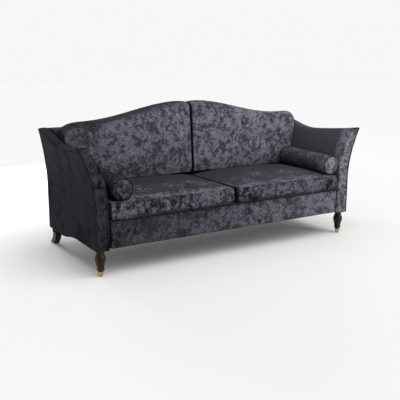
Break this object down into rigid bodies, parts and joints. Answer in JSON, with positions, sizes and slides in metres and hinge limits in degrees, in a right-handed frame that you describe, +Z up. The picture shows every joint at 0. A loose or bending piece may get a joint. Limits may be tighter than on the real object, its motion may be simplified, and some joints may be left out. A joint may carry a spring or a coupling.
{
  "type": "sofa",
  "caption": "Camelback sofa with flared swept arms, loose seat and back cushions, round bolsters, turned front legs with brass tips and swept rear legs.",
  "frame": {"origin": "on the floor, under the middle of the sofa's overall width and overall depth", "axes": "+X towards the sofa's right seen from the front, +Y towards its back, +Z up"},
  "size_m": [2.128, 0.924, 0.9596],
  "materials": {
    "velvet": "crushed charcoal velvet",
    "piping": "dark velvet piping",
    "beech": "planed hardwood",
    "walnut": "dark satin lacquer",
    "brass": "satin",
    "steel": "plain",
    "webbing": "woven elastic",
    "cambric": "thin woven lining"
  },
  "bodies": {
    "frame": {"seat_rail_front": "beech", "seat_rail_rear": "beech", "seat_rail_centre": "beech", "seat_rail_right": "beech", "seat_rail_left": "beech", "arm_post_right": "beech", "arm_post_left": "beech", "arm_rail_right": "beech", "arm_rail_left": "beech", "back_post_right": "beech", "back_post_left": "beech", "back_post_centre": "beech", "back_rail_top": "beech", "back_rail_lower": "beech", "leg_block_right": "beech", "leg_block_left": "beech", "seat_spring_1_right": "steel", "seat_spring_1_left": "steel", "seat_spring_2_right": "steel", "seat_spring_2_left": "steel", "seat_spring_3_right": "steel", "seat_spring_3_left": "steel", "back_strap_1_right": "webbing", "back_strap_1_left": "webbing", "back_strap_2_right": "webbing", "back_strap_2_left": "webbing", "deck_pad": "velvet", "dust_cover": "cambric", "front_border": "velvet", "border_piping": "piping", "arm_facing_right": "velvet", "arm_facing_left": "velvet", "facing_piping_right": "piping", "facing_piping_left": "piping", "arm_cover_right": "velvet", "arm_cover_left": "velvet", "arm_pad_right": "velvet", "arm_pad_left": "velvet", "arm_roll_right": "velvet", "arm_roll_left": "velvet", "back_cover": "velvet", "back_pad": "velvet", "back_roll": "velvet", "front_leg_right": "walnut", "front_leg_left": "walnut", "leg_ferrule_right": "brass", "leg_ferrule_left": "brass", "rear_leg_right": "walnut", "rear_leg_left": "walnut", "rear_leg_collar_right": "velvet", "rear_leg_collar_left": "velvet", "leg_stud_right": "steel", "leg_stud_left": "steel"},
    "seat_right": {"seat_cushion_right": "velvet"},
    "seat_left": {"seat_cushion_left": "velvet"},
    "back_right": {"back_cushion_right": "velvet"},
    "back_left": {"back_cushion_left": "velvet"},
    "roll_right": {"bolster_right": "velvet"},
    "roll_left": {"bolster_left": "velvet"}
  },
  "joints": [
    {"name": "seat_right_out", "type": "slide", "parent": "frame", "child": "seat_right", "axis": [0, -1, 0], "range_m": [0, 0.7]},
    {"name": "seat_left_out", "type": "slide", "parent": "frame", "child": "seat_left", "axis": [0, -1, 0], "range_m": [0, 0.7]},
    {"name": "back_right_up", "type": "slide", "parent": "frame", "child": "back_right", "axis": [0, 0, 1], "range_m": [0, 0.5]},
    {"name": "back_left_up", "type": "slide", "parent": "frame", "child": "back_left", "axis": [0, 0, 1], "range_m": [0, 0.5]},
    {"name": "roll_right_up", "type": "slide", "parent": "seat_right", "child": "roll_right", "axis": [0, 0, 1], "range_m": [0, 0.36]},
    {"name": "roll_left_up", "type": "slide", "parent": "seat_left", "child": "roll_left", "axis": [0, 0, 1], "range_m": [0, 0.36]}
  ]
}
